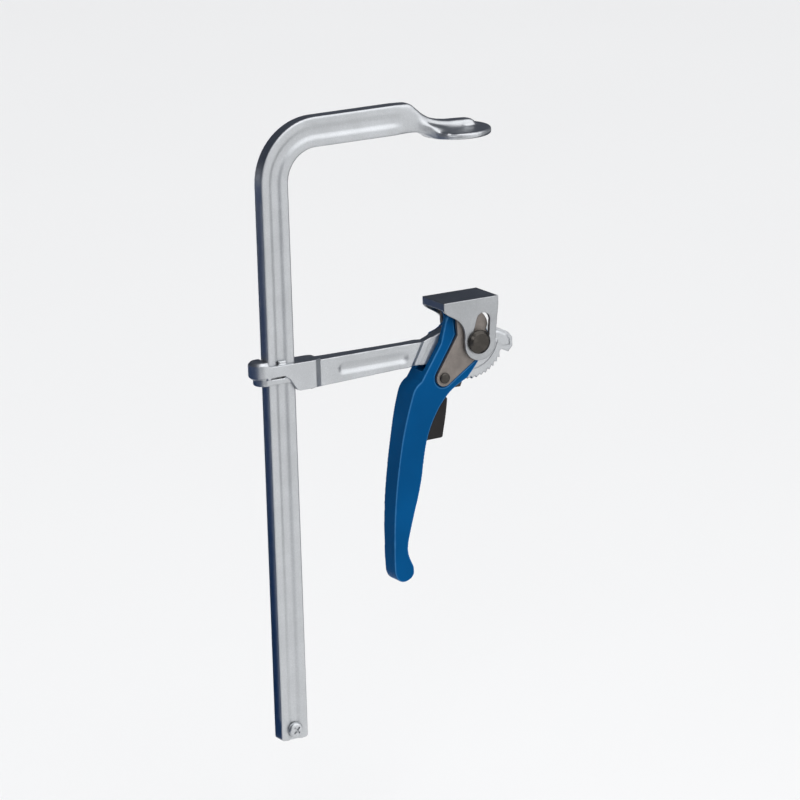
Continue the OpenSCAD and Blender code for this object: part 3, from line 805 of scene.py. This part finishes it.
class CLAMP_OT_stop_screw(PieceOperator, bpy.types.Operator):
    """Pan head screw that keeps the arm on the rail"""

    bl_idname = "clamp.stop_screw"
    bl_label = "Stop screw"

    def execute(self, context):
        zinc = zinc_finish("zinc_screw", self.looks, 2200)
        screw = forged("stop_screw", "stop_screw_body", self.sizes.screw_skin, 2)
        finish_piece(screw, zinc, "stop_screw", ["stop_screw"])
        return {"FINISHED"}


class CLAMP_OT_sliding_arm(PieceOperator, bpy.types.Operator):
    """Forged sliding arm with its head, hub and toothed segment"""

    bl_idname = "clamp.sliding_arm"
    bl_label = "Sliding arm"

    FINE = 0.85  # face size against the other forgings'
    # All in millimetres. Lips in the rail's grooves: size, offset from the rail's middle plane
    # and height over the pivot
    GUIDE_SIZE = (5.2, 2, 7.2)
    GUIDE_OFFSET = 5.4
    GUIDE_LEVEL = 3
    # (x, half thickness) of the head's end and of the flank
    HEAD_PLAN = ((-110, 7.7), (-108.1, 7.6), (-103.6, 5.2), (-99, 5.05))
    FLANK_PLAN = ((-107.2, 5.2), (-33.5, 3.5))
    # Sunk panel: (start, end, level, radius), its depth, the soft wall's distances inside the
    # outline, how far outside it and how deep under the flank points are moved
    PANEL = (-87.5, -44.5, PIVOT.z / MM - 5.0, 3.3)
    PANEL_DEPTH = 0.95
    PANEL_WALL = (-1.0, 2.7)
    PANEL_REACH = 1.1
    PANEL_SKIN = 1.4
    # (distance from the pivot, half thickness) of the cast arm and of its finished neck, the
    # neck's box from the pivot, its slant about a level, and where it ends at the hub
    CAST_PLAN = ((-52, 4.05), (-38, 3.5), (-36, 3.5), (-33, 4.3), (-20, 4.3))
    NECK_PLAN = ((-60, 4.36), (-52, 4.05), (-42, 4.6), (-40.6, 4.6), (-37.6, 2.9), (-33.6, 3.1),
                 (-31.6, 4.3), (-20, 4.3))
    NECK_ALONG = (-52, -22)
    NECK_HEIGHT = (-20, 12)
    NECK_SLANT = 0.53
    NECK_LEVEL = -5.4
    NECK_END = (-25, -22)
    # End stop's panel: outline from the pivot, its rise, the width of its edge and the half
    # thickness beyond which points are moved
    STOP_PANEL = ((15.4, 2.9), (20.3, 1.8), (26.2, -1.2), (28.4, -4), (28.4, -8), (26.6, -9.6),
                  (23.8, -8.2), (16.8, -8.2))
    STOP_RISE = 0.55
    STOP_EDGE = 0.8
    STOP_CORE = 3

    def execute(self, context):
        zinc = zinc_finish("zinc_arm", self.looks, 1700)
        arm = self.join(merged_copy("sliding_arm", "sliding_arm_forging"), self.groove_guides())
        remesh(arm, self.sizes.forging_skin * self.FINE)
        for vertex in arm.data.vertices:
            self.slope_head(vertex)
            self.dish_panel(vertex)
            self.neck(vertex)
            self.raise_end_stop(vertex)
        soften(arm, 3)
        finish_piece(arm, zinc, "sliding_arm", ["sliding_arm"])
        return {"FINISHED"}

    def groove_guides(self):
        """Small lips that stand up from the straps and run in the rail's grooves."""
        shape = bmesh.new()
        size = Matrix.Diagonal([extent * MM for extent in self.GUIDE_SIZE] + [1])
        for side in (-1, 1):
            centre = Vector((RAIL_LOW.x + self.sizes.rail_width / 2,
                             side * self.GUIDE_OFFSET * MM, PIVOT.z + self.GUIDE_LEVEL * MM))
            bmesh.ops.create_cube(shape, size=1, matrix=Matrix.Translation(centre) @ size)
        mesh = bpy.data.meshes.new("groove_guides")
        shape.to_mesh(mesh)
        shape.free()
        return mesh

    def slope_head(self, vertex):
        """Slopes the end of the head's block down to the arm."""
        x = vertex.co.x / MM
        if self.HEAD_PLAN[0][0] < x < self.HEAD_PLAN[-1][0]:
            limit = table_value(x, self.HEAD_PLAN) * MM
            vertex.co.y = max(-limit, min(limit, vertex.co.y))

    def dish_panel(self, vertex):
        """Turns the sunk panel's sharp walls into soft ones."""
        x = vertex.co.x / MM
        z = vertex.co.z / MM
        start, end, level, radius = self.PANEL
        room = radius - math.hypot(x - min(end, max(start, x)), z - level)
        face = table_value(x, self.FLANK_PLAN)
        if room > -self.PANEL_REACH and abs(vertex.co.y) / MM > face - self.PANEL_SKIN:
            sunk = self.PANEL_DEPTH * smooth_step(room, *self.PANEL_WALL)
            vertex.co.y = math.copysign(face - sunk, vertex.co.y) * MM

    def neck(self, vertex):
        """Steps the arm down in a slanted facet before the hub."""
        x = (vertex.co.x - PIVOT.x) / MM
        z = (vertex.co.z - PIVOT.z) / MM
        start, end = self.NECK_ALONG
        foot, top = self.NECK_HEIGHT
        if not (start < x < end and foot < z < top):
            return
        cast = table_value(x, self.CAST_PLAN)
        wanted = table_value(x - self.NECK_SLANT * (z - self.NECK_LEVEL), self.NECK_PLAN)
        keep = smooth_step(x, *self.NECK_END)
        vertex.co.y *= keep + (1 - keep) * wanted / cast

    def raise_end_stop(self, vertex):
        """Raises a panel on the end stop past the last tooth."""
        x = (vertex.co.x - PIVOT.x) / MM
        z = (vertex.co.z - PIVOT.z) / MM
        depth = depth_inside(self.STOP_PANEL, x, z)
        if depth > 0 and abs(vertex.co.y) > self.STOP_CORE * MM:
            rise = math.copysign(self.STOP_RISE * MM, vertex.co.y)
            vertex.co.y += rise * smooth_step(depth, 0, self.STOP_EDGE)


class CLAMP_OT_lever(PieceOperator, bpy.types.Operator):
    """Painted lever, its cheeks sunk round the cam plates"""

    bl_idname = "clamp.lever"
    bl_label = "Lever"

    # Where the cheeks' rise runs out and where it is full, in height from the pivot, the half
    # width beyond which points are moved, and how far outside the plate a ray starts
    RISE_LOW, RISE_FULL = -62 * MM, -26 * MM
    FLANK = 6.2 * MM
    CLEAR = 10 * MM

    def execute(self, context):
        lever = remesh(merged_copy("lever", "lever_forging"), self.sizes.forging_skin)
        for node in ("cam_plate_front", "cam_plate_rear"):
            self.raise_cheek(lever, node)
        soften(lever, 5)
        finish_piece(lever, paint_finish(self.looks), "lever", ["lever"])
        return {"FINISHED"}

    def raise_cheek(self, lever, node):
        """Lets a cheek stand proud of its cam plate's seat and run out down the grip."""
        plate = merged_copy(node, "seat")
        level = middle(node).y
        side = math.copysign(1.0, level)
        seat = BVHTree.FromPolygons([v.co for v in plate.data.vertices],
                                    [list(p.vertices) for p in plate.data.polygons])
        bpy.data.objects.remove(plate)
        inward = Vector((0, -side, 0))
        gap = self.sizes.recess_gap
        for vertex in lever.data.vertices:
            if vertex.co.y * side < self.FLANK:
                continue
            spot = Vector((vertex.co.x, level, vertex.co.z))
            if seat.ray_cast(spot - inward * self.CLEAR, inward)[0]:
                continue
            room = seat.find_nearest(spot)[3]
            along = smooth_step(vertex.co.z - PIVOT.z, self.RISE_LOW, self.RISE_FULL)
            rise = along * smooth_step(room, gap, 2 * gap)
            vertex.co.y += side * self.sizes.bulge * rise


class CLAMP_OT_cam_plates(PieceOperator, bpy.types.Operator):
    """Blasted cam plates on both cheeks"""

    bl_idname = "clamp.cam_plates"
    bl_label = "Cam plates"

    def execute(self, context):
        steel = cam_finish(self.looks)
        for node in ("cam_plate_front", "cam_plate_rear"):
            plate = forged(node, node + "_blank", self.sizes.plate_skin, 2)
            finish_piece(plate, steel, node, [node])
        return {"FINISHED"}


class CLAMP_OT_pins(PieceOperator, bpy.types.Operator):
    """Turned pivot pin, lock rivet and the cover's rivet"""

    bl_idname = "clamp.pins"
    bl_label = "Pins"

    # (radius of the shank, height of a head, radius of its flat, height of its bevel)
    HEADED = {"pivot_pin": (4.5 * MM, 3.3 * MM, 5.7 * MM, 1.7 * MM),
              "lock_rivet": (2.5 * MM, 1.6 * MM, 2.7 * MM, 0.6 * MM)}
    DOME = 0.12 * MM
    ROUNDING = 0.35 * MM

    def execute(self, context):
        steel = dark_finish(self.looks)
        for node in self.HEADED:
            finish_piece(self.headed(node), steel, node, [node])
        rivet = forged("pawl_rivet", "pawl_rivet_body", self.sizes.rivet_skin, 2)
        finish_piece(rivet, steel, "pawl_rivet", ["pawl_rivet"])
        return {"FINISHED"}

    def headed(self, node):
        """A pin with a bevelled and slightly domed head at each end."""
        shank, head, flat, bevel = self.HEADED[node]
        low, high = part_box(node)
        radius = (high.x - low.x) / 2
        half = (high.y - low.y) / 2
        grip = half - head
        side = [(0, half), (flat, half - self.DOME), (radius, grip + head - bevel),
                (radius, grip), (shank, grip)]
        profile = side + [(r, -y) for r, y in reversed(side)]
        return turned(node + "_turned", rounded_profile(profile, self.ROUNDING), middle(node))


class CLAMP_OT_trigger(PieceOperator, bpy.types.Operator):
    """Pawl and its moulded finger cover"""

    bl_idname = "clamp.trigger"
    bl_label = "Pawl and trigger"

    FINE = 0.8  # the pawl's face size against the plates'

    def execute(self, context):
        pawl = forged("pawl", "pawl_blank", self.sizes.plate_skin * self.FINE, 2)
        finish_piece(pawl, dark_finish(self.looks), "pawl", ["pawl"])
        cover = forged("trigger", "trigger_cover", self.sizes.plate_skin, 3)
        finish_piece(cover, cover_finish(self.looks), "trigger", ["trigger"])
        return {"FINISHED"}


class CLAMP_OT_spring(PieceOperator, bpy.types.Operator):
    """Wire spring that presses the pawl into the teeth"""

    bl_idname = "clamp.spring"
    bl_label = "Pawl spring"

    def execute(self, context):
        wire = wire_finish(self.looks)
        finish_piece(spring_coil(self.sizes, wire), wire, "pawl_spring", ["pawl_spring"])
        return {"FINISHED"}


class CLAMP_OT_shoe(PieceOperator, bpy.types.Operator):
    """Pressure shoe with its slotted ears"""

    bl_idname = "clamp.shoe"
    bl_label = "Pressure shoe"

    def execute(self, context):
        zinc = zinc_finish("zinc_shoe", self.looks, 1700, tone=0.8)
        shoe = forged("shoe", "shoe_forging", self.sizes.plate_skin, 3)
        finish_piece(shoe, zinc, "shoe", ["shoe"])
        return {"FINISHED"}


class CLAMP_OT_stage(bpy.types.Operator):
    """Pale floor, soft studio light and the camera"""

    bl_idname = "clamp.stage"
    bl_label = "Stage"
    bl_options = {"REGISTER", "UNDO"}

    # Gap under the lever at its lowest, and the cards' drop below the rail's end
    FLOOR_GAP = 5 * MM
    CARD_DROP = 12 * MM
    # Name, colour and corners (x, y) of each card
    CARDS = (("left_card", (0.001, 0.03, 0.11),
              ((-0.14, 0.02), (-0.14, 2.6), (-3.0, 2.6), (-3.0, -3.6), (-0.4, -0.32))),
             ("right_card", (0.003, 0.011, 0.028),
              ((0.06, 0.05), (0.45, -0.3), (3.0, -1.1), (2.5, 2.6))),
             ("front_card", (0.16, 0.17, 0.19),
              ((-0.3, -0.5), (-0.16, -0.5), (-0.1, -3.0), (-1.3, -3.0))))
    # Key light: where it comes from, its strength and its breadth. Lamps: name, place, size
    # and power, and the point that they all face
    KEY_FROM = Vector((0.5, -0.9, 0.8))
    KEY_STRENGTH = 2.3
    KEY_BREADTH = math.radians(78)
    LAMPS = (("fill_light", (-1.6, -2.2, 1.2), 0.9, 9), ("top_light", (-0.2, -0.6, 2.0), 0.8, 5))
    AIM = Vector((-0.05, 0, -0.17))
    # The air as it lights the scene, and as it shows in reflections
    AIR = (0.6, 0.605, 0.615, 1)
    ROOM = (0.045, 0.055, 0.08, 1)

    def execute(self, context):
        stage = context.scene.clamp_stage
        self.camera(context.scene, stage)
        self.floor(context.scene, stage)
        for card in self.CARDS:
            self.dark_card(*card)
        self.key_light()
        for lamp in self.LAMPS:
            self.light(*lamp)
        self.air(context.scene)
        context.scene.view_settings.view_transform = "Standard"
        return {"FINISHED"}

    def camera(self, scene, stage):
        """Stands the camera in its place, turned by yaw, pitch and roll."""
        yaw, pitch, roll = stage.yaw, stage.pitch, stage.roll
        ahead = Vector((math.sin(yaw) * math.cos(pitch), math.cos(yaw) * math.cos(pitch),
                        -math.sin(pitch)))
        right = Vector((math.cos(yaw), -math.sin(yaw), 0))
        down = ahead.cross(right)
        across = right * math.cos(roll) + down * math.sin(roll)
        below = down * math.cos(roll) - right * math.sin(roll)
        turn = Matrix((across, -below, -ahead)).transposed().to_4x4()
        data = bpy.data.cameras.new("camera")
        data.lens = stage.lens
        data.sensor_width = 36.0
        data.clip_end = 100.0
        camera = bpy.data.objects.new("camera", data)
        camera.matrix_world = Matrix.Translation(stage.camera_place) @ turn
        scene.collection.objects.link(camera)
        scene.camera = camera

    def floor(self, scene, stage):
        """A floor below the lever's lowest reach."""
        half = stage.floor_size / 2
        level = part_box("lever")[0][2] + ARM_LOWEST - self.FLOOR_GAP
        mesh = bpy.data.meshes.new("studio_floor")
        mesh.from_pydata([(-half, -half, level), (half, -half, level), (half, half, level),
                          (-half, half, level)], [], [(0, 1, 2, 3)])
        floor = new_piece("studio_floor", mesh)
        mesh.materials.append(floor_finish(scene.clamp_looks))

    def dark_card(self, name, colour, corners):
        """A dark sheet below the rail's end that only shows in reflections on the metal."""
        level = CAD_BOX[0][2] - self.CARD_DROP
        mesh = bpy.data.meshes.new(name)
        mesh.from_pydata([(x, y, level) for x, y in corners], [], [tuple(range(len(corners)))])
        card = new_piece(name, mesh)
        finish = Finish("dark_card", Specular_IOR_Level=0.0, Roughness=1.0)
        felt = finish.noise(30)
        finish.feed(Base_Color=finish.mix(felt, shade(colour, 0.7), shade(colour, 1.3)))
        mesh.materials.append(finish.material)
        for ray in ("camera", "diffuse", "shadow", "transmission", "volume_scatter"):
            setattr(card, "visible_" + ray, False)

    def air(self, scene):
        """Pale air that lights the floor, but reflects as a dim room."""
        world = bpy.data.worlds.new("studio_air")
        world.use_nodes = True
        tree = world.node_tree
        path = tree.nodes.new("ShaderNodeLightPath")
        mix = tree.nodes.new("ShaderNodeMix")
        mix.data_type = "RGBA"
        mix.inputs[MIX_LOW].default_value = self.AIR
        mix.inputs[MIX_HIGH].default_value = self.ROOM
        tree.links.new(path.outputs["Is Glossy Ray"], mix.inputs[MIX_FACTOR])
        tree.links.new(mix.outputs[MIX_RESULT], tree.nodes["Background"].inputs["Color"])
        scene.world = world

    def key_light(self):
        """A broad, even key light from the front right."""
        data = bpy.data.lights.new("key_light", "SUN")
        data.energy = self.KEY_STRENGTH
        data.angle = self.KEY_BREADTH
        light = bpy.data.objects.new("key_light", data)
        light.rotation_euler = (-self.KEY_FROM).to_track_quat("-Z", "Y").to_euler()
        bpy.context.scene.collection.objects.link(light)

    def light(self, name, place, size, power):
        """A round lamp that faces the clamp and isn't seen itself."""
        data = bpy.data.lights.new(name, "AREA")
        data.shape = "DISK"
        data.size = size
        data.energy = power
        light = bpy.data.objects.new(name, data)
        light.location = place
        light.visible_camera = False
        light.rotation_euler = (self.AIM - Vector(place)).to_track_quat("-Z", "Y").to_euler()
        bpy.context.scene.collection.objects.link(light)


PIECES = (CLAMP_OT_rail, CLAMP_OT_stop_screw, CLAMP_OT_sliding_arm, CLAMP_OT_lever,
          CLAMP_OT_cam_plates, CLAMP_OT_pins, CLAMP_OT_trigger, CLAMP_OT_spring, CLAMP_OT_shoe)
ORDER = (CLAMP_OT_stage,) + PIECES


class CLAMP_PT_panel(bpy.types.Panel):
    """Lists the clamp's pieces and settings"""

    bl_idname = "CLAMP_PT_panel"
    bl_label = "Lever Bar Clamp"
    bl_space_type = "VIEW_3D"
    bl_region_type = "UI"
    bl_category = "Clamp"

    def draw(self, context):
        for operator in ORDER:
            self.layout.operator(operator.bl_idname)
        for group in (context.scene.clamp_sizes, context.scene.clamp_looks,
                      context.scene.clamp_stage):
            box = self.layout.box()
            for key in type(group).__annotations__:
                box.prop(group, key)


CLASSES = (ClampSizes, ClampLooks, ClampStage) + ORDER + (CLAMP_PT_panel,)


def register():
    for cls in CLASSES:
        bpy.utils.register_class(cls)
    bpy.types.Scene.clamp_sizes = bpy.props.PointerProperty(type=ClampSizes)
    bpy.types.Scene.clamp_looks = bpy.props.PointerProperty(type=ClampLooks)
    bpy.types.Scene.clamp_stage = bpy.props.PointerProperty(type=ClampStage)


def unregister():
    del bpy.types.Scene.clamp_stage
    del bpy.types.Scene.clamp_looks
    del bpy.types.Scene.clamp_sizes
    for cls in reversed(CLASSES):
        bpy.utils.unregister_class(cls)


def main():
    register()
    for operator in ORDER:
        group, name = operator.bl_idname.split(".")
        getattr(getattr(bpy.ops, group), name)()


if __name__ == "__main__":
    main()
